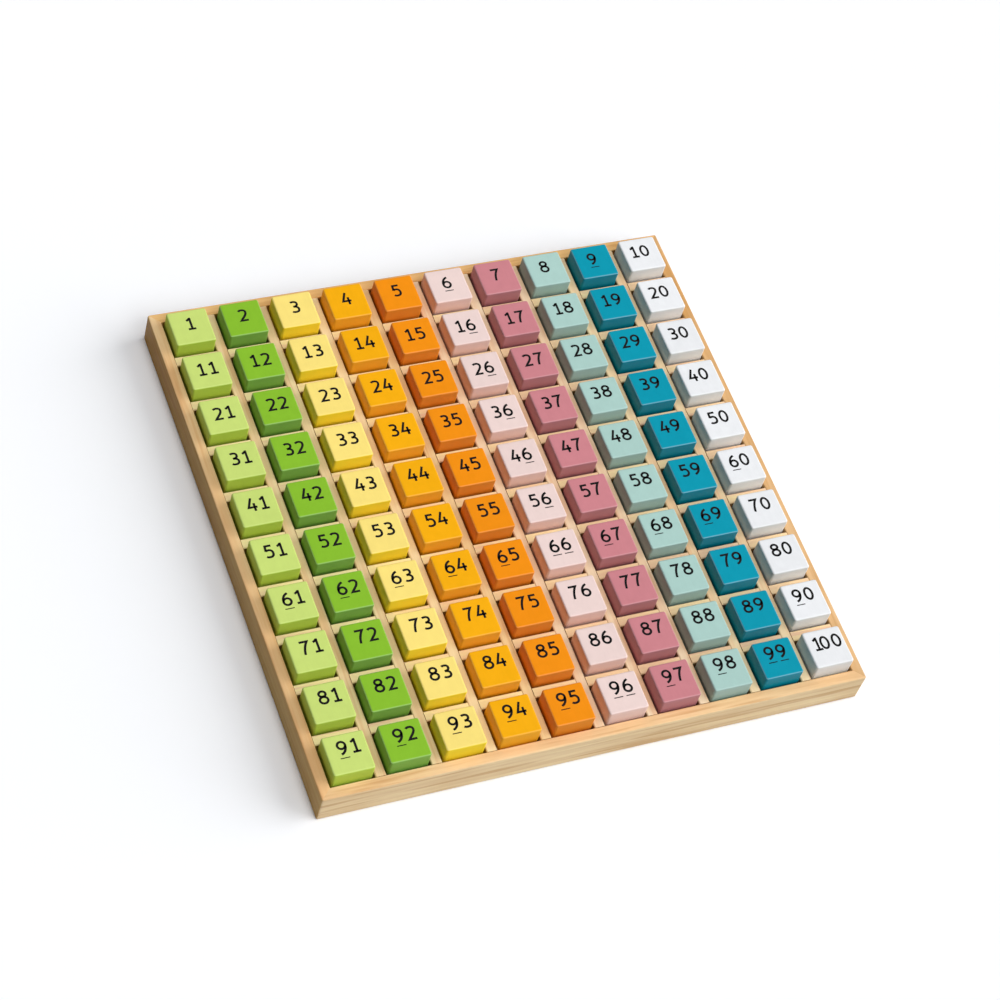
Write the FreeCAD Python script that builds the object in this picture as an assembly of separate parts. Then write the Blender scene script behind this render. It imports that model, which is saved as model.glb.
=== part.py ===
import FreeCAD, Part
import os

# Number counting tray: a mitred frame around a half-lapped grid of dividers, a thin base board,
# and one hundred painted cubes that stand loose in the cells, ten to a row.
# Millimetres. The origin is on the floor under the middle of the tray. X runs along a row of
# numbers from low to high, Y from the front rail (numbers 91 to 100) to the back rail, Z up.

# Blocks: one colour for each column, from the left
COLUMN_COLOURS = (
    "lime", "green", "yellow", "amber", "orange",
    "blush", "rose", "mint", "teal", "white",
)
ROWS = 10
BLOCK_SIDE = 23.5
BLOCK_EASED_EDGE = 0.9
BLOCK_CLEARANCE = 1.15  # from a block's face to the wall of its cell

# Dividers
DIVIDER_THICKNESS = 6.0
DIVIDER_EASED_EDGE = 0.5
DIVIDER_DROP = 0.2  # how far the divider tops lie below the rail tops
DIVIDER_END_CLEARANCE = 0.1  # from a divider's end to the rail
LAP_SIDE_CLEARANCE = 0.1  # from a divider's face to the wall of the slot it sits in
LAP_DEPTH_CLEARANCE = 0.1  # between the two slot bottoms at a crossing

# Frame rails
RAIL_THICKNESS = 6.5
RAIL_HEIGHT = 21.0
RAIL_OUTER_ROUND = 0.9  # top outer edge
RAIL_INNER_ROUND = 0.7  # top inner edge
RAIL_FOOT_ROUND = 0.5  # bottom outer edge
RAIL_CORNER_ROUND = 1.0  # upright corners of the frame

# Base board, let into a groove in the rails
BASE_THICKNESS = 4.0
BASE_RECESS = 3.0  # from the floor to the board's underside
GROOVE_DEPTH = 3.0
GROOVE_SIDE_CLEARANCE = 0.3  # from the board's edge to the bottom of the groove
GROOVE_TOP_CLEARANCE = 0.1  # above the board, which rests on the groove's lower face

# Sizes and heights that follow
COLUMNS = len(COLUMN_COLOURS)
cell_side = BLOCK_SIDE + 2 * BLOCK_CLEARANCE
pitch = cell_side + DIVIDER_THICKNESS
inside_x = COLUMNS * pitch - DIVIDER_THICKNESS
inside_y = ROWS * pitch - DIVIDER_THICKNESS
outside_x = inside_x + 2 * RAIL_THICKNESS
outside_y = inside_y + 2 * RAIL_THICKNESS
cell_floor = BASE_RECESS + BASE_THICKNESS
divider_height = RAIL_HEIGHT - DIVIDER_DROP - cell_floor


def centred_box(size_x, size_y, size_z, low_z):
    """A box centred on the Z axis, standing at low_z."""
    corner = FreeCAD.Vector(-size_x / 2, -size_y / 2, low_z)
    return Part.makeBox(size_x, size_y, size_z, corner)


def prism(outline, direction):
    """The closed outline, pushed along direction into a solid."""
    return Part.Face(Part.makePolygon(outline + outline[:1])).extrude(direction)


def cell_middle(index, inside):
    """The middle of a cell, counted from the low end of the row or column."""
    return index * pitch + cell_side / 2 - inside / 2


def divider_middle(index, inside):
    """The middle of the divider that follows the cell of the same index."""
    return cell_middle(index, inside) + pitch / 2


def level_edges(shape, height, size_x, size_y):
    """The edges at one height that bound a rectangle of the given size, with its corner arcs."""
    found = []
    for edge in shape.Edges:
        bounds = edge.BoundBox
        level = abs(bounds.ZMin - height) < 1e-6 and abs(bounds.ZMax - height) < 1e-6
        on_x = abs(max(abs(bounds.XMin), abs(bounds.XMax)) - size_x / 2) < 1e-6
        on_y = abs(max(abs(bounds.YMin), abs(bounds.YMax)) - size_y / 2) < 1e-6
        if level and (on_x or on_y):
            found.append(edge)
    return found


def upright_edges(shape, size_x):
    """The upright edges at the outer corners of a box-shaped solid."""
    found = []
    for edge in shape.Edges:
        bounds = edge.BoundBox
        if bounds.ZLength > 1e-6 and abs(abs(bounds.XMin) - size_x / 2) < 1e-6:
            found.append(edge)
    return found


def frame_ring():
    """The whole frame before it is divided at the mitres, with its rounds and its groove."""
    ring = centred_box(outside_x, outside_y, RAIL_HEIGHT, 0)
    ring = ring.makeFillet(RAIL_CORNER_ROUND, upright_edges(ring, outside_x))
    ring = ring.makeFillet(RAIL_OUTER_ROUND, level_edges(ring, RAIL_HEIGHT, outside_x, outside_y))
    ring = ring.makeFillet(RAIL_FOOT_ROUND, level_edges(ring, 0, outside_x, outside_y))
    ring = ring.cut(centred_box(inside_x, inside_y, RAIL_HEIGHT, 0))
    ring = ring.makeFillet(RAIL_INNER_ROUND, level_edges(ring, RAIL_HEIGHT, inside_x, inside_y))
    groove_x = inside_x + 2 * GROOVE_DEPTH
    groove_y = inside_y + 2 * GROOVE_DEPTH
    groove_height = BASE_THICKNESS + GROOVE_TOP_CLEARANCE
    return ring.cut(centred_box(groove_x, groove_y, groove_height, BASE_RECESS))


def mitre_wedge(length, width, turn):
    """What one rail keeps of the ring: a wedge along the front, cut at 45 degrees at both ends."""
    reach = RAIL_THICKNESS
    outer_x = length / 2 + reach
    inner_x = length / 2 - RAIL_THICKNESS - reach
    outer_y = -width / 2 - reach
    inner_y = -width / 2 + RAIL_THICKNESS + reach
    outline = [
        FreeCAD.Vector(-outer_x, outer_y, -reach),
        FreeCAD.Vector(outer_x, outer_y, -reach),
        FreeCAD.Vector(inner_x, inner_y, -reach),
        FreeCAD.Vector(-inner_x, inner_y, -reach),
    ]
    wedge = prism(outline, FreeCAD.Vector(0, 0, RAIL_HEIGHT + 2 * reach))
    wedge.rotate(FreeCAD.Vector(0, 0, 0), FreeCAD.Vector(0, 0, 1), turn)
    return wedge


def frame_rails():
    """The four rails, each the ring's stretch between two mitres."""
    ring = frame_ring()
    return {
        "rail_front": ring.common(mitre_wedge(outside_x, outside_y, 0)),
        "rail_right": ring.common(mitre_wedge(outside_y, outside_x, 90)),
        "rail_back": ring.common(mitre_wedge(outside_x, outside_y, 180)),
        "rail_left": ring.common(mitre_wedge(outside_y, outside_x, 270)),
    }


def base_board():
    """The thin board under the cells, with its edges in the groove of the rails."""
    size_x = inside_x + 2 * (GROOVE_DEPTH - GROOVE_SIDE_CLEARANCE)
    size_y = inside_y + 2 * (GROOVE_DEPTH - GROOVE_SIDE_CLEARANCE)
    return centred_box(size_x, size_y, BASE_THICKNESS, BASE_RECESS)


def divider(inside, crossings, slot_low, slot_high):
    """A divider along X with eased top edges, slotted wherever another divider crosses it."""
    length = inside - 2 * DIVIDER_END_CLEARANCE
    half = DIVIDER_THICKNESS / 2
    top = cell_floor + divider_height
    outline = [
        FreeCAD.Vector(-length / 2, -half, cell_floor),
        FreeCAD.Vector(-length / 2, half, cell_floor),
        FreeCAD.Vector(-length / 2, half, top - DIVIDER_EASED_EDGE),
        FreeCAD.Vector(-length / 2, half - DIVIDER_EASED_EDGE, top),
        FreeCAD.Vector(-length / 2, DIVIDER_EASED_EDGE - half, top),
        FreeCAD.Vector(-length / 2, -half, top - DIVIDER_EASED_EDGE),
    ]
    bar = prism(outline, FreeCAD.Vector(length, 0, 0))
    slot_width = DIVIDER_THICKNESS + 2 * LAP_SIDE_CLEARANCE
    slot = centred_box(slot_width, 2 * DIVIDER_THICKNESS, slot_high - slot_low, slot_low)
    slots = [slot.translated(FreeCAD.Vector(place, 0, 0)) for place in crossings]
    return bar.cut(Part.makeCompound(slots))


def column_dividers():
    """The dividers between columns. Their slots open downwards, so their tops run unbroken."""
    crossings = [divider_middle(row, inside_y) for row in range(ROWS - 1)]
    slot_high = cell_floor + divider_height / 2 + LAP_DEPTH_CLEARANCE
    bar = divider(inside_y, crossings, cell_floor - DIVIDER_THICKNESS, slot_high)
    bar.rotate(FreeCAD.Vector(0, 0, 0), FreeCAD.Vector(0, 0, 1), 90)
    places = [divider_middle(column, inside_x) for column in range(COLUMNS - 1)]
    return {
        f"divider_column_{number}": bar.translated(FreeCAD.Vector(place, 0, 0))
        for number, place in enumerate(places, 1)
    }


def row_dividers():
    """The dividers between rows, counted from the back. Their slots open upwards."""
    crossings = [divider_middle(column, inside_x) for column in range(COLUMNS - 1)]
    slot_low = cell_floor + divider_height / 2
    bar = divider(inside_x, crossings, slot_low, RAIL_HEIGHT + DIVIDER_THICKNESS)
    places = [-divider_middle(row, inside_y) for row in range(ROWS - 1)]
    return {
        f"divider_row_{number}": bar.translated(FreeCAD.Vector(0, place, 0))
        for number, place in enumerate(places, 1)
    }


def block_columns():
    """The cubes, ten separate solids to a column, each standing on the board in its own cell."""
    block = centred_box(BLOCK_SIDE, BLOCK_SIDE, BLOCK_SIDE, cell_floor)
    block = block.makeChamfer(BLOCK_EASED_EDGE, block.Edges)
    columns = {}
    for column, colour in enumerate(COLUMN_COLOURS):
        x = cell_middle(column, inside_x)
        places = [FreeCAD.Vector(x, cell_middle(row, inside_y), 0) for row in range(ROWS)]
        columns[f"blocks_{colour}"] = Part.makeCompound([block.translated(place) for place in places])
    return columns


def main():
    os.makedirs("parts", exist_ok=True)
    nodes = {"base_board": base_board()}
    nodes.update(frame_rails())
    nodes.update(column_dividers())
    nodes.update(row_dividers())
    nodes.update(block_columns())
    for name, shape in nodes.items():
        shape.exportStep(f"parts/{name}.step")


main()
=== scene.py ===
import math

import bmesh
import bpy
from mathutils import Matrix, Vector
from mathutils.geometry import interpolate_bezier


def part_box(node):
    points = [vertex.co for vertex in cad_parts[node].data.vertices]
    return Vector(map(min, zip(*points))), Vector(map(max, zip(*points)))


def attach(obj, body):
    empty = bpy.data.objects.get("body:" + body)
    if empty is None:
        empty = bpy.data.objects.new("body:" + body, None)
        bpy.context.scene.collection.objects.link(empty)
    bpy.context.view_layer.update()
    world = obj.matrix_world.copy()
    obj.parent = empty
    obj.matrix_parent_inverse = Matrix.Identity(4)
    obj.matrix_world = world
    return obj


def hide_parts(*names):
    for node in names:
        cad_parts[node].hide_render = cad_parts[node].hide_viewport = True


# Number counting tray. The rails, the dividers and the base board keep the shapes of the packed
# model and get their wood here. The hundred blocks are built here with their numbers, each in
# the place of its plain cube. Metres. X runs along a row of numbers from low to high, Y from the
# front rail to the back rail, Z up.
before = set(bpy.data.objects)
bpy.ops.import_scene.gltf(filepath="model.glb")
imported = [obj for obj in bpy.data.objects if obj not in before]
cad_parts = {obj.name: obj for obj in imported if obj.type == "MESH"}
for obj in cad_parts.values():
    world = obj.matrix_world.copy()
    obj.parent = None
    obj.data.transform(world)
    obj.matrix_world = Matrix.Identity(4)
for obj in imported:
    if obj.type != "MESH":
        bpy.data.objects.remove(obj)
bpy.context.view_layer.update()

MM = 0.001
WHITE = (1, 1, 1, 1)

# Blocks: one paint for each column from the left, as 0 to 255 values, first for the top, then for
# the sides. The tops are painted paler, a painted sheen, and the sides deeper, a painted shade.
PAINTS = {
    "lime": ((203, 224, 121), (186, 215, 80)),
    "green": ((137, 191, 47), (126, 179, 77)),
    "yellow": ((254, 229, 127), (255, 228, 52)),
    "amber": ((250, 177, 10), (248, 178, 40)),
    "orange": ((246, 146, 13), (234, 144, 42)),
    "blush": ((240, 216, 211), (242, 212, 206)),
    "rose": ((207, 133, 141), (192, 130, 138)),
    "mint": ((175, 210, 203), (169, 202, 197)),
    "teal": ((1, 153, 178), (1, 142, 169)),
    "white": ((241, 243, 246), (237, 240, 241)),
}
COLUMNS = len(PAINTS)
ROWS = 10
BLOCK_ROUND = 0.95 * MM  # the edges around the top and the bottom
CORNER_ROUND = 1.3 * MM  # the upright edges
ROUND_STEPS = 4
ARC_PROFILE = 0.5  # the bevel tool's value for a true arc

# Numbers: how far the ink stands proud of the block, and which material of the block it is
PRINT_HEIGHT = 0.05 * MM
INK_SLOT = 1

# Digits, in millimetres before PRINT_SIZE enlarges them
PRINT_SIZE = 1.06
DIGIT_HEIGHT = 8.2
STROKE = 1.27
UNDERLINE_LENGTH = 5.0
UNDERLINE_STROKE = 0.53
UNDERLINE_DROP = 1.6
CURVE_STEPS = 7
TOUCHING = 1e-6  # a stroke whose ends lie this close is closed
SHARPEST_MITRE = 0.45  # keeps the corner of a sharp bend from running out to a spike

# From one digit's middle to the next, in millimetres
DIGIT_ADVANCE = 6.75
ADVANCE_PER_ROW = 0.06
HUNDRED_ADVANCES = (4.8, 7.3)

# Where the print lands on the blocks, in millimetres from a block's middle. It drifts to the right
# or left for each column and row away from those where it is centred.
DRIFT_PER_COLUMN = -0.155
DRIFT_PER_ROW = 0.125
CENTRED_COLUMN = 4.5
CENTRED_ROW = 5
FIRST_ROW_RISE = 1.85
PRINT_RISE = 0.65
PRINT_RISE_PER_ROW = 0.3
LAST_COLUMNS = 3  # so many columns at the right are printed higher
LAST_COLUMNS_RISE = 1.0
LAST_COLUMNS_RISE_PER_ROW = -0.07
HUNDRED_PLACE = (0.45, 2.9)

# Numbers in which every 6 and 9 is underlined
FULLY_UNDERLINED = (66, 96, 99)


def colour(values):
    """A colour written as 0 to 255 values, as the linear values that materials take."""
    linear = []
    for value in values:
        share = value / 255
        linear.append(share / 12.92 if share <= 0.04045 else ((share + 0.055) / 1.055) ** 2.4)
    return (*linear, 1.0)


# Strokes of the digits

def bend(*points):
    """A smooth stroke: a start, then two handles and an end for each stretch."""
    path = [Vector(points[0])]
    for first in range(0, len(points) - 3, 3):
        corners = [Vector((*point, 0)) for point in points[first:first + 4]]
        stretch = interpolate_bezier(*corners, CURVE_STEPS)
        path += [point.to_2d() for point in stretch[1:]]
    return path


def straight(*points):
    """A stroke of straight runs."""
    return [Vector(point) for point in points]


def loop(middle_x, middle_y, radius_x, radius_y):
    """A closed oval stroke."""
    steps = 4 * CURVE_STEPS
    turns = [2 * math.pi * step / steps for step in range(steps + 1)]
    return [
        Vector((middle_x + radius_x * math.cos(turn), middle_y + radius_y * math.sin(turn)))
        for turn in turns
    ]


def half_turn(stroke):
    """The stroke turned upside down about the middle of a digit."""
    return [Vector((-point.x, DIGIT_HEIGHT - point.y)) for point in stroke]


# Each digit is centred on x = 0. The middle of a stroke runs at foot along the baseline, and at
# head along the top, so that the ink's edges lie at 0 and at DIGIT_HEIGHT.
foot = STROKE / 2
head = DIGIT_HEIGHT - STROKE / 2
SIX = [
    bend((1.15, head + 0.05), (-0.6, 7.1), (-2.05, 5.4), (-2.05, 2.7)),
    loop(0, 2.62, 2.05, 2.62 - foot),
]
DIGITS = {
    "0": [loop(0, DIGIT_HEIGHT / 2, 2.1, DIGIT_HEIGHT / 2 - foot)],
    "1": [
        bend((-1.75, 6.35), (-1.0, 6.65), (-0.45, 7.1), (0.1, head)),
        straight((0.25, DIGIT_HEIGHT), (0.25, foot)),
        straight((-1.9, foot), (2.3, foot)),
    ],
    "2": [
        bend(
            (-1.95, 6.85), (-1.5, 7.4), (-0.9, head), (-0.15, head),
            (1.15, head), (1.85, 6.95), (1.85, 5.9),
            (1.85, 4.1), (-0.3, 2.6), (-1.75, foot),
        ) + straight((2.25, foot)),
    ],
    "3": [
        bend(
            (-1.75, 7.2), (-1.3, 7.5), (-0.8, head), (-0.2, head),
            (1.0, head), (1.65, 7.0), (1.65, 6.05),
            (1.65, 5.0), (0.9, 4.35), (-0.8, 4.3),
        ),
        bend(
            (-0.8, 4.3), (1.1, 4.3), (1.95, 3.5), (1.95, 2.4),
            (1.95, 1.2), (1.1, foot), (-0.25, foot),
            (-0.95, foot), (-1.5, 0.75), (-2.0, 1.15),
        ),
    ],
    "4": [
        straight((0.35, DIGIT_HEIGHT), (-2.05, 2.45), (2.65, 2.45)),
        straight((1.2, 4.9), (1.2, 0)),
    ],
    "5": [
        straight((1.85, head), (-1.4, head), (-1.65, 4.3)),
        bend(
            (-1.65, 4.5), (-1.1, 4.85), (-0.6, 4.95), (-0.1, 4.95),
            (1.2, 4.95), (1.95, 4.05), (1.95, 2.8),
            (1.95, 1.35), (1.1, foot), (-0.3, foot),
            (-0.95, foot), (-1.5, 0.75), (-2.0, 1.15),
        ),
    ],
    "6": SIX,
    "7": [
        straight((-2.2, head)) + bend((2.0, head), (0.5, 5.4), (-0.4, 3.2), (-0.75, 0)),
    ],
    "8": [loop(0, 6.05, 1.8, head - 6.05), loop(0, 2.5, 2.15, 2.5 - foot)],
    "9": [half_turn(stroke) for stroke in SIX],
}


def ribbon(mesh, stroke, width, place, level):
    """Lays one stroke into the mesh as a flat band, mitred at its bends."""
    runs = [(after - point).normalized() for point, after in zip(stroke, stroke[1:])]
    closed = (stroke[0] - stroke[-1]).length < TOUCHING
    arriving = [runs[-1] if closed else runs[0]] + runs
    leaving = runs + [runs[0] if closed else runs[-1]]
    pairs = []
    for point, before, after in zip(stroke, arriving, leaving):
        along = (before + after).normalized()
        across = Vector((-along.y, along.x))
        mitre = across.dot(Vector((-after.y, after.x)))
        reach = width / 2 / max(SHARPEST_MITRE, mitre)
        pair = []
        for side in (1, -1):
            spot = ((point + across * reach * side) * PRINT_SIZE + place) * MM
            pair.append(mesh.verts.new((spot.x, spot.y, level)))
        pairs.append(pair)
    for (left, right), (next_left, next_right) in zip(pairs, pairs[1:]):
        face = mesh.faces.new((left, right, next_right, next_left))
        face.material_index = INK_SLOT
        face.normal_update()
        if face.normal.z < 0:
            face.normal_flip()


def underlined(number, index):
    """Whether a digit carries the short line that tells a 6 from a 9."""
    digit = str(number)[index]
    if digit not in "69":
        return False
    leads = index == 0
    ends_early_number = digit == "6" and number < 60
    return leads or ends_early_number or number in FULLY_UNDERLINED


def print_number(mesh, number, place, level):
    """Lays the strokes of a number into a block's mesh, centred on place."""
    text = str(number)
    row = (number - 1) // COLUMNS
    advance = DIGIT_ADVANCE + ADVANCE_PER_ROW * row
    advances = HUNDRED_ADVANCES if len(text) == 3 else (advance,) * (len(text) - 1)
    start = -sum(advances) / 2
    for index, digit in enumerate(text):
        middle = Vector((start + sum(advances[:index]), -PRINT_SIZE * DIGIT_HEIGHT / 2)) + place
        for stroke in DIGITS[digit]:
            ribbon(mesh, stroke, STROKE, middle, level)
        if underlined(number, index):
            half = UNDERLINE_LENGTH / 2
            line = straight((-half, -UNDERLINE_DROP), (half, -UNDERLINE_DROP))
            ribbon(mesh, line, UNDERLINE_STROKE, middle, level)


def print_place(row, column):
    """Where a number's middle lies on its block's top, in millimetres from the block's middle."""
    if (row, column) == (ROWS - 1, COLUMNS - 1):
        return Vector(HUNDRED_PLACE)
    across = DRIFT_PER_COLUMN * (column - CENTRED_COLUMN) + DRIFT_PER_ROW * (row - CENTRED_ROW)
    if row == 0:
        return Vector((across, FIRST_ROW_RISE))
    rise = PRINT_RISE + PRINT_RISE_PER_ROW * row
    if column >= COLUMNS - LAST_COLUMNS:
        rise += LAST_COLUMNS_RISE + LAST_COLUMNS_RISE_PER_ROW * row
    return Vector((across, rise))


# Shape of the blocks

def is_upright(edge):
    """Whether the edge runs from one height to another."""
    bottom, top = (vertex.co.z for vertex in edge.verts)
    return abs(top - bottom) > CORNER_ROUND


def round_edges(mesh, edges, radius):
    """Rounds the edges to an arc of the radius."""
    bmesh.ops.bevel(
        mesh,
        geom=edges,
        offset=radius,
        segments=ROUND_STEPS,
        profile=ARC_PROFILE,
        affect="EDGES",
    )


def rounded_block(side, height):
    """A block with rounded edges, standing on z = 0 around the Z axis."""
    mesh = bmesh.new()
    bmesh.ops.create_cube(mesh, size=1)
    for vertex in mesh.verts:
        x, y, z = vertex.co
        vertex.co = Vector((x * side, y * side, (z + 0.5) * height))
    round_edges(mesh, [edge for edge in mesh.edges if is_upright(edge)], CORNER_ROUND)
    round_edges(mesh, [edge for edge in mesh.edges if not is_upright(edge)], BLOCK_ROUND)
    return mesh


def round_normals(data, side, height):
    """Shades the rounded edges smoothly and keeps the faces between them flat."""
    half = side / 2 - CORNER_ROUND
    normals = []
    for vertex in data.vertices:
        x, y, z = vertex.co
        corner = Vector((min(max(x, -half), half), min(max(y, -half), half), 0))
        outward = Vector((x, y, 0)) - corner
        core = corner + outward.normalized() * min(outward.length, CORNER_ROUND - BLOCK_ROUND)
        core.z = min(max(z, BLOCK_ROUND), height - BLOCK_ROUND)
        normals.append((vertex.co - core).normalized())
    for polygon in data.polygons:
        polygon.use_smooth = True
    data.normals_split_custom_set_from_vertices(normals)


def numbered_block(number, place, side, height):
    """The mesh of a rounded block with its number printed around place on its top."""
    mesh = rounded_block(side, height)
    print_number(mesh, number, place, height + PRINT_HEIGHT)
    data = bpy.data.meshes.new(f"block_{number}")
    mesh.to_mesh(data)
    mesh.free()
    round_normals(data, side, height)
    return data


# Shader helpers

def feed(tree, socket, value):
    """Gives a socket its value: a link from another socket, or a plain value."""
    if isinstance(value, bpy.types.NodeSocket):
        tree.links.new(value, socket)
    elif value is not None:
        socket.default_value = value


def new_group(name, inputs, outputs):
    """An empty shader node group with named sockets: its tree, its input node and output node."""
    tree = bpy.data.node_groups.new(name, "ShaderNodeTree")
    for label, (kind, value) in inputs.items():
        socket = tree.interface.new_socket(label, in_out="INPUT", socket_type=kind)
        socket.default_value = value
    for label, kind in outputs.items():
        tree.interface.new_socket(label, in_out="OUTPUT", socket_type=kind)
    return tree, tree.nodes.new("NodeGroupInput"), tree.nodes.new("NodeGroupOutput")


def place_on_part(tree):
    """The place of each spot of a surface, in metres along the tray's axes."""
    return tree.nodes.new("ShaderNodeTexCoord").outputs["Object"]


def facing(tree):
    """The direction that each spot of a surface faces."""
    return tree.nodes.new("ShaderNodeNewGeometry").outputs["Normal"]


def axes(tree, vector):
    """The X, Y and Z values of a vector."""
    made = tree.nodes.new("ShaderNodeSeparateXYZ")
    tree.links.new(vector, made.inputs["Vector"])
    return made.outputs


def math_node(tree, operation, first, second=None):
    """A math node fed by sockets or plain values: its output socket."""
    made = tree.nodes.new("ShaderNodeMath")
    made.operation = operation
    feed(tree, made.inputs[0], first)
    feed(tree, made.inputs[1], second)
    return made.outputs["Value"]


def vector_node(tree, operation, first, second=None):
    """A vector math node fed by sockets or plain values: its output socket."""
    made = tree.nodes.new("ShaderNodeVectorMath")
    made.operation = operation
    feed(tree, made.inputs[0], first)
    feed(tree, made.inputs[1], second)
    return made.outputs["Value" if operation == "DOT_PRODUCT" else "Vector"]


def mix_colours(tree, share, first, second, blend="MIX"):
    """A colour mix fed by sockets or plain values: its output socket."""
    made = tree.nodes.new("ShaderNodeMix")
    made.data_type = "RGBA"
    made.blend_type = blend
    sockets = {socket.identifier: socket for socket in made.inputs}
    feed(tree, sockets["Factor_Float"], share)
    feed(tree, sockets["A_Color"], first)
    feed(tree, sockets["B_Color"], second)
    return next(socket for socket in made.outputs if socket.identifier == "Result_Color")


def noise(tree, place, texture):
    """A noise texture at place: its value socket."""
    made = tree.nodes.new("ShaderNodeTexNoise")
    tree.links.new(place, made.inputs["Vector"])
    for name, value in zip(("Scale", "Detail", "Roughness"), texture):
        made.inputs[name].default_value = value
    return made.outputs["Fac"]


def remap(tree, value, limits):
    """Carries a value from one range to another and holds it there: its output socket."""
    made = tree.nodes.new("ShaderNodeMapRange")
    tree.links.new(value, made.inputs["Value"])
    for name, limit in zip(("From Min", "From Max", "To Min", "To Max"), limits):
        made.inputs[name].default_value = limit
    return made.outputs["Result"]


# What a finish group gives to its materials
FINISH = {
    "Color": "NodeSocketColor",
    "Roughness": "NodeSocketFloat",
    "Height": "NodeSocketFloat",
}
RELIEF_DEPTH = 0.1 * MM


def finished_material(name, group, values, relief, sheen):
    """A material whose colour, roughness and relief come from a finish group with its own values."""
    made = bpy.data.materials.new(name)
    made.use_nodes = True
    tree = made.node_tree
    shader = tree.nodes["Principled BSDF"]
    shader.inputs["Specular IOR Level"].default_value = sheen
    finish = tree.nodes.new("ShaderNodeGroup")
    finish.node_tree = group
    for label, value in values.items():
        finish.inputs[label].default_value = value
    bump = tree.nodes.new("ShaderNodeBump")
    bump.inputs["Strength"].default_value = relief
    bump.inputs["Distance"].default_value = RELIEF_DEPTH
    tree.links.new(finish.outputs["Height"], bump.inputs["Height"])
    tree.links.new(bump.outputs["Normal"], shader.inputs["Normal"])
    tree.links.new(finish.outputs["Color"], shader.inputs["Base Color"])
    tree.links.new(finish.outputs["Roughness"], shader.inputs["Roughness"])
    return made


# Wood grain. A noise is given by its waves to a metre, its detail and its roughness.
GROWTH_BANDS = (150, 3, 0.55)
WOOD_FIBRES = (800, 4, 0.65)
PORES = (420, 2, 0.5)
PORE_STRETCH = (0.6, 0.6, 1.0)
CLOUDS = (14, 2, 0.5)

# A range is given by where a value starts and stops to count, and what comes out at these ends.
# These four come out as shares of the way from the wood's pale tone to its dark one.
BANDS_DARKEN = (0.35, 0.7, 0, 0.6)
FIBRES_DARKEN = (0.3, 0.75, 0, 0.34)
PORES_DARKEN = (0.54, 0.68, 0, 0.6)
CLOUDS_DARKEN = (0.35, 0.65, -0.08, 0.14)
# These two ranges carry the sides' painted light and shade: how far a face looks up, and where along Y
# it lies
SIDE_SHADING_RANGE = (0.3, 0.8, 0, 1)  # from how far a face looks up: 0 on the sides, 1 on the top
NEAR_TO_FAR = (-0.14, 0.14, 0, 1)  # from the place along Y: 0 at the front, 1 at the back
WOOD_ROUGHNESS = (0.3, 0.7, 0.42, 0.56)
WOOD_RELIEF = 0.25
WOOD_SHEEN = 0.2


def wood_figure(tree, place, fibres, grain, drift):
    """How dark the wood is at each spot, from its pale tone at 0 to its dark tone at 1."""
    figure = vector_node(tree, "DOT_PRODUCT", place, drift)
    stretched = vector_node(tree, "MULTIPLY", grain, PORE_STRETCH)
    for value, limits in (
        (noise(tree, grain, GROWTH_BANDS), BANDS_DARKEN),
        (fibres, FIBRES_DARKEN),
        (noise(tree, stretched, PORES), PORES_DARKEN),
        (noise(tree, place, CLOUDS), CLOUDS_DARKEN),
    ):
        figure = math_node(tree, "ADD", figure, remap(tree, value, limits))
    return figure


def side_tint(tree, place, near_shading, far_shading):
    """Painted light and shade that the wood is multiplied by: nothing on top, and each piece's painted
    shading on the sides.
    """
    _, along, _ = axes(tree, place)
    _, _, up = axes(tree, facing(tree))
    sides = mix_colours(tree, remap(tree, along, NEAR_TO_FAR), near_shading, far_shading)
    return mix_colours(tree, remap(tree, up, SIDE_SHADING_RANGE), sides, WHITE)


def wood_grain_group():
    """Pale softwood: broad growth bands, fine fibres and a faint sheen that varies along them, with
    painted light and shade on the upright sides.
    """
    tree, given, result = new_group(
        "Wood grain",
        {
            "Pale": ("NodeSocketColor", WHITE),
            "Dark": ("NodeSocketColor", WHITE),
            "Near side shading": ("NodeSocketColor", WHITE),
            "Far side shading": ("NodeSocketColor", WHITE),
            "Stretch": ("NodeSocketVector", (1, 1, 1)),
            "Offset": ("NodeSocketVector", (0, 0, 0)),
            "Drift": ("NodeSocketVector", (0, 0, 0)),
        },
        FINISH,
    )
    inputs = given.outputs
    place = place_on_part(tree)
    grain = vector_node(tree, "MULTIPLY", place, inputs["Stretch"])
    grain = vector_node(tree, "ADD", grain, inputs["Offset"])
    fibres = noise(tree, grain, WOOD_FIBRES)
    figure = wood_figure(tree, place, fibres, grain, inputs["Drift"])
    wood = mix_colours(tree, figure, inputs["Pale"], inputs["Dark"])
    tint = side_tint(tree, place, inputs["Near side shading"], inputs["Far side shading"])
    wood = mix_colours(tree, 1.0, wood, tint, "MULTIPLY")
    tree.links.new(wood, result.inputs["Color"])
    tree.links.new(remap(tree, fibres, WOOD_ROUGHNESS), result.inputs["Roughness"])
    tree.links.new(fibres, result.inputs["Height"])
    return tree


# Paint over wood, with noises and ranges given as for the grain
PAINT_FIBRES = (700, 4, 0.6)
PAINT_FIBRE_STRETCH = (1, 0.12, 1)
MOTTLE = (160, 3, 0.5)
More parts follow.
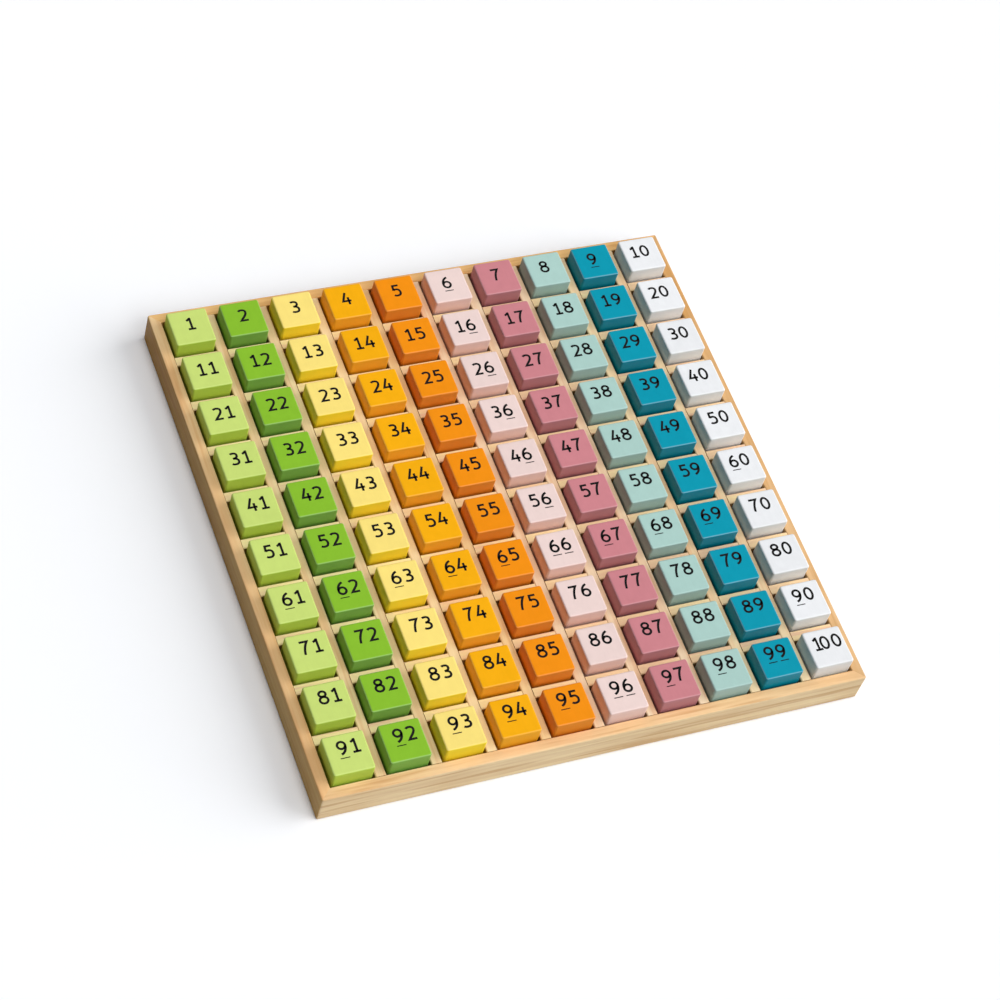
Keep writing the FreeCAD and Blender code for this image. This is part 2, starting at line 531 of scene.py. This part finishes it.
# The tops' paler paint is a painted sheen and the sides' deeper paint a painted shade, mixed by how
# far a face looks up
TOP_SHEEN_SIDE_SHADE = (0.3, 0.95, 0, 1)  # from how far a face looks up: 0 on the sides, 1 on the top
RIM_BEND = (0.72, 0.99, 1, 0)  # from how squarely a spot faces along an axis: 1 on a rounded edge
RIM_LEVEL = (0.3, 0.6, 0, 1)  # leaves the upright edges out
MOTTLE_TONE = (0.3, 0.7, -0.02, 0.02)
FIBRE_TONE = (0.3, 0.7, -0.012, 0.012)
PAINT_ROUGHNESS = (0.3, 0.7, 0.36, 0.46)
FIBRE_RELIEF = 0.6
PAINT_RELIEF = 0.12
PAINT_SHEEN = 0.12
TONE_SPREAD = 0.04  # from the darkest block to the palest of one column
# How far the paint pales towards white on the rims, a painted highlight: the deeper paints show it
# more
RIM_HIGHLIGHTS = {"green": 0.14, "rose": 0.12, "teal": 0.2}
PALE_PAINT_RIM_HIGHLIGHT = 0.07


def rimmed_paint(tree, top, sides, rim_highlight):
    """The paint of the top and of the sides, a painted sheen and a painted shade, paler on the rims
    around the top and the bottom as a painted highlight.
    """
    x, y, z = axes(tree, vector_node(tree, "ABSOLUTE", facing(tree)))
    paint = mix_colours(tree, remap(tree, z, TOP_SHEEN_SIDE_SHADE), sides, top)
    squareness = math_node(tree, "MAXIMUM", math_node(tree, "MAXIMUM", x, y), z)
    bent = remap(tree, squareness, RIM_BEND)
    rim = math_node(tree, "MULTIPLY", bent, remap(tree, z, RIM_LEVEL))
    rim = math_node(tree, "MULTIPLY", rim, rim_highlight)
    return mix_colours(tree, rim, paint, WHITE)


def block_tone(tree, place, pitch, spread):
    """How much paler or darker than its column a block is, picked by the cell that it stands in."""
    cell = vector_node(tree, "MULTIPLY", place, (1 / pitch, 1 / pitch, 0))
    cell = vector_node(tree, "ADD", cell, (COLUMNS / 2, ROWS / 2, 0))
    own = tree.nodes.new("ShaderNodeTexWhiteNoise")
    own.noise_dimensions = "2D"
    tree.links.new(vector_node(tree, "FLOOR", cell), own.inputs["Vector"])
    centred = math_node(tree, "SUBTRACT", own.outputs["Value"], 0.5)
    return math_node(tree, "MULTIPLY", centred, spread)


def painted_wood_group(pitch):
    """Satin paint on a wooden cube, a little mottled, with the fibres showing through, and painted
    light: a sheen on the top, shade on the sides, a highlight on the rims.
    """
    tree, given, result = new_group(
        "Painted wood",
        {
            "Top": ("NodeSocketColor", WHITE),
            "Sides": ("NodeSocketColor", WHITE),
            "Rim highlight": ("NodeSocketFloat", PALE_PAINT_RIM_HIGHLIGHT),
            "Tone spread": ("NodeSocketFloat", TONE_SPREAD),
        },
        FINISH,
    )
    inputs = given.outputs
    place = place_on_part(tree)
    stretched = vector_node(tree, "MULTIPLY", place, PAINT_FIBRE_STRETCH)
    fibres = noise(tree, stretched, PAINT_FIBRES)
    mottle = noise(tree, place, MOTTLE)
    tone = block_tone(tree, place, pitch, inputs["Tone spread"])
    tone = math_node(tree, "ADD", tone, remap(tree, mottle, MOTTLE_TONE))
    tone = math_node(tree, "ADD", tone, remap(tree, fibres, FIBRE_TONE))
    shade = math_node(tree, "ADD", tone, 1.0)
    paint = rimmed_paint(tree, inputs["Top"], inputs["Sides"], inputs["Rim highlight"])
    paint = mix_colours(tree, 1.0, paint, shade, "MULTIPLY")
    relief = math_node(tree, "ADD", mottle, math_node(tree, "MULTIPLY", fibres, FIBRE_RELIEF))
    tree.links.new(paint, result.inputs["Color"])
    tree.links.new(remap(tree, mottle, PAINT_ROUGHNESS), result.inputs["Roughness"])
    tree.links.new(relief, result.inputs["Height"])
    return tree


# Ink: where it covers well and where it lies thin
INK = (6, 5, 6)
THIN_INK = (16, 14, 16)
INK_COVER = (900, 3, 0.5)
INK_THINS = (0.4, 0.75, 0, 1)
INK_ROUGHNESS = (0.3, 0.7, 0.5, 0.62)
INK_SHEEN = 0.1


def ink_material():
    """Black number ink, a little uneven."""
    made = bpy.data.materials.new("Number ink")
    made.use_nodes = True
    tree = made.node_tree
    shader = tree.nodes["Principled BSDF"]
    shader.inputs["Specular IOR Level"].default_value = INK_SHEEN
    cover = noise(tree, place_on_part(tree), INK_COVER)
    tone = mix_colours(tree, remap(tree, cover, INK_THINS), colour(INK), colour(THIN_INK))
    tree.links.new(tone, shader.inputs["Base Color"])
    tree.links.new(remap(tree, cover, INK_ROUGHNESS), shader.inputs["Roughness"])
    return made


# Woods: the pale and the dark tone of each kind of piece, as 0 to 255 values
WOODS = {
    "rail_front": ((250, 213, 163), (214, 165, 112)),
    "rail_back": ((251, 204, 136), (219, 161, 94)),
    "rail_left": ((250, 214, 162), (234, 180, 122)),
    "rail_right": ((225, 185, 136), (199, 149, 89)),
    "divider_column": ((247, 226, 179), (229, 187, 139)),
    "divider_row": ((255, 236, 175), (241, 200, 162)),
    # The base board is a mid-brown ply, darkened further as painted shade for the gaps around the
    # blocks
    "base_board": ((190, 152, 106), (158, 120, 78)),
}
# The column dividers come from several boards: each of these starts at the divider of its number
LATER_DIVIDERS = {
    4: ((244, 217, 162), (221, 178, 122)),
    5: ((248, 230, 196), (236, 197, 156)),
    8: ((248, 226, 182), (239, 194, 148)),
}
# Painted light and shade on the upright sides: what they are multiplied by, as linear shares. Most
# pieces' sides are painted a little darker, the dividers' much darker, the front rail's face lighter,
# and the left rail's outer face gets painted shade that deepens to the back.
PLAIN_SIDE_SHADE = (0.9, 0.88, 0.8, 1)
# Painted shade for the narrow gaps around the blocks, on the dividers' sides
DIVIDER_GAP_SHADE = (0.55, 0.46, 0.36, 1)
SIDE_LIGHT_AND_SHADE = {
    "divider_column": DIVIDER_GAP_SHADE,
    "divider_row": DIVIDER_GAP_SHADE,
    "rail_front": (1.04, 1.2, 1.33, 1),
    "rail_left": (0.8, 0.81, 0.48, 1),
}
FAR_SIDE_SHADE = {"rail_left": (0.46, 0.32, 0.03, 1)}
# How much darker the wood grows along the tray's axes, in shares of its tones for each metre. The left
# rail's, darker at the front and paler to the back, is painted shade: the blocks' shadow on it lies
# heavier towards the front.
DRIFTS = {"rail_right": (0, 1.5, 0), "rail_left": (0, -2.0, 0), "divider_row": (1.6, 0, 0)}
NO_DRIFT = (0, 0, 0)
# The grain is drawn out along the piece
RUN_ALONG_X = ("rail_front", "rail_back", "divider_row", "base_board")
ALONG_X = (0.05, 1.0, 1.0)
ALONG_Y = (1.0, 0.05, 1.0)
# From the stretch of grain that one piece shows to that of the next
NEXT_STRETCH = (0.37, 0.61, 0.83)


def wood_kind(name):
    """The kind of a wooden piece: its name, or a divider's name without its number."""
    return name if name in WOODS else name.rsplit("_", 1)[0]


def wood_tones(name):
    """The pale and the dark tone of a wooden piece."""
    tones = WOODS[wood_kind(name)]
    if wood_kind(name) == "divider_column":
        number = int(name.rsplit("_", 1)[1])
        for first, later_tones in LATER_DIVIDERS.items():
            tones = later_tones if number >= first else tones
    return tones


def finish_wood(group):
    """Gives each rail, divider and the base board its own stretch of grain."""
    for order, (name, piece) in enumerate(sorted(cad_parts.items())):
        if name.startswith("blocks_"):
            continue
        kind = wood_kind(name)
        pale, dark = wood_tones(name)
        sides = SIDE_LIGHT_AND_SHADE.get(kind, PLAIN_SIDE_SHADE)
        values = {
            "Pale": colour(pale),
            "Dark": colour(dark),
            "Near side shading": sides,
            "Far side shading": FAR_SIDE_SHADE.get(kind, sides),
            "Stretch": ALONG_X if kind in RUN_ALONG_X else ALONG_Y,
            "Offset": [step * order for step in NEXT_STRETCH],
            "Drift": DRIFTS.get(kind, NO_DRIFT),
        }
        wood = finished_material(f"Wood of {name}", group, values, WOOD_RELIEF, WOOD_SHEEN)
        piece.data.materials.clear()
        piece.data.materials.append(wood)


def build_blocks(group, ink):
    """The hundred numbered blocks, each in the place of its cube."""
    for column, (name, (top, sides)) in enumerate(PAINTS.items()):
        node_name = f"blocks_{name}"
        low_corner, high_corner = (Vector(corner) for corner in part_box(node_name))
        side = high_corner.x - low_corner.x
        height = high_corner.z - low_corner.z - PRINT_HEIGHT
        row_step = (high_corner.y - low_corner.y - side) / (ROWS - 1)
        values = {
            "Top": colour(top),
            "Sides": colour(sides),
            "Rim highlight": RIM_HIGHLIGHTS.get(name, PALE_PAINT_RIM_HIGHLIGHT),
        }
        paint = finished_material(f"Paint {name}", group, values, PAINT_RELIEF, PAINT_SHEEN)
        for row in range(ROWS):
            number = row * COLUMNS + column + 1
            data = numbered_block(number, print_place(row, column), side, height)
            data.materials.append(paint)
            data.materials.append(ink)
            block = bpy.data.objects.new(f"block_{number}", data)
            bpy.context.collection.objects.link(block)
            middle_x = (low_corner.x + high_corner.x) / 2
            middle_y = high_corner.y - side / 2 - row * row_step
            data.transform(Matrix.Translation((middle_x, middle_y, low_corner.z)))
            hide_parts(node_name)
            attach(block, "root")


# Floor and background. The lamps together fall a little short of full light, so the floor is
# shown just over white, and it throws back less light than it shows.
FLOOR_SIDE = 40.0
FLOOR_DROP = 0.2 * MM
FLOOR_SHOWN = (1.03, 1.045, 1.075, 1)
FLOOR_THROW = (0.6, 0.6, 0.6, 1)
FLOOR_ROUGHNESS = 0.9
FLOOR_SHEEN = 0.0
AMBIENT = 0.01
BACKGROUND = 1

# Lamps: the direction from the X axis, the height above the floor, the width of the source, all in
# degrees, and the strength as a share of full light, met square on
LIGHTS = {
    "over": (0, 90, 26, 0.385),
    "side": (-18, 30, 60, 0.83),
    "front": (-78, 48, 30, 0.22),
}

# Camera: its place and the point that it looks at in metres, its lens and sensor in millimetres,
# and how far it is tipped in degrees
CAMERA_PLACE = (-0.5775, -0.7820, 1.3274)
CAMERA_AIM = (0.0063, 0.0090, 0.0)
CAMERA_LENS = 103.13
CAMERA_SENSOR = 36
CAMERA_ROLL = 19.83


def background_ray(tree):
    """1 for rays that show a background, straight or in a gloss or through glass, and 0 for others."""
    path = tree.nodes.new("ShaderNodeLightPath").outputs
    shown = math_node(tree, "MAXIMUM", path["Is Camera Ray"], path["Is Glossy Ray"])
    return math_node(tree, "MAXIMUM", shown, path["Is Transmission Ray"])


def floor_material():
    """A plain matt floor that looks white and throws only a part of its light on the tray."""
    pale = bpy.data.materials.new("Floor")
    pale.use_nodes = True
    tree = pale.node_tree
    shader = tree.nodes["Principled BSDF"]
    shader.inputs["Roughness"].default_value = FLOOR_ROUGHNESS
    shader.inputs["Specular IOR Level"].default_value = FLOOR_SHEEN
    tone = mix_colours(tree, background_ray(tree), FLOOR_THROW, FLOOR_SHOWN)
    tree.links.new(tone, shader.inputs["Base Color"])
    return pale


def build_floor():
    """A wide floor, just clear of the tray's underside."""
    mesh = bmesh.new()
    bmesh.ops.create_grid(mesh, x_segments=1, y_segments=1, size=FLOOR_SIDE / 2)
    data = bpy.data.meshes.new("floor")
    mesh.to_mesh(data)
    mesh.free()
    data.materials.append(floor_material())
    floor = bpy.data.objects.new("floor", data)
    floor.location.z = -FLOOR_DROP
    bpy.context.collection.objects.link(floor)


def build_world():
    """A little even light, behind a white background."""
    world = bpy.data.worlds.new("Studio")
    world.use_nodes = True
    bpy.context.scene.world = world
    tree = world.node_tree
    background = tree.nodes["Background"]
    background.inputs["Color"].default_value = WHITE
    strength = remap(tree, background_ray(tree), (0, 1, AMBIENT, BACKGROUND))
    tree.links.new(strength, background.inputs["Strength"])


def build_light(name, turn, height, width, strength):
    """A soft, far studio light."""
    light = bpy.data.lights.new(name, "SUN")
    light.angle = math.radians(width)
    light.energy = strength * math.pi
    lamp = bpy.data.objects.new(name, light)
    turn, height = math.radians(turn), math.radians(height)
    level = math.cos(height)
    toward = Vector((level * math.cos(turn), level * math.sin(turn), math.sin(height)))
    lamp.rotation_euler = (-toward).to_track_quat("-Z", "Y").to_euler()
    bpy.context.collection.objects.link(lamp)


def build_camera():
    """The photograph's view: from the front left, well above, with the horizon tipped."""
    lens = bpy.data.cameras.new("camera")
    lens.lens = CAMERA_LENS
    lens.sensor_width = CAMERA_SENSOR
    camera = bpy.data.objects.new("camera", lens)
    aim = Vector(CAMERA_AIM) - Vector(CAMERA_PLACE)
    level = aim.to_track_quat("-Z", "Y").to_matrix().to_4x4()
    roll = Matrix.Rotation(math.radians(CAMERA_ROLL), 4, "Z")
    camera.matrix_world = Matrix.Translation(CAMERA_PLACE) @ level @ roll
    bpy.context.collection.objects.link(camera)
    bpy.context.scene.camera = camera


def main():
    lime_low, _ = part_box("blocks_lime")
    green_low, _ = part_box("blocks_green")
    pitch = green_low[0] - lime_low[0]
    finish_wood(wood_grain_group())
    build_blocks(painted_wood_group(pitch), ink_material())
    build_floor()
    build_world()
    for name, (turn, height, width, strength) in LIGHTS.items():
        build_light(name, turn, height, width, strength)
    build_camera()
    bpy.context.scene.view_settings.view_transform = "Standard"


main()
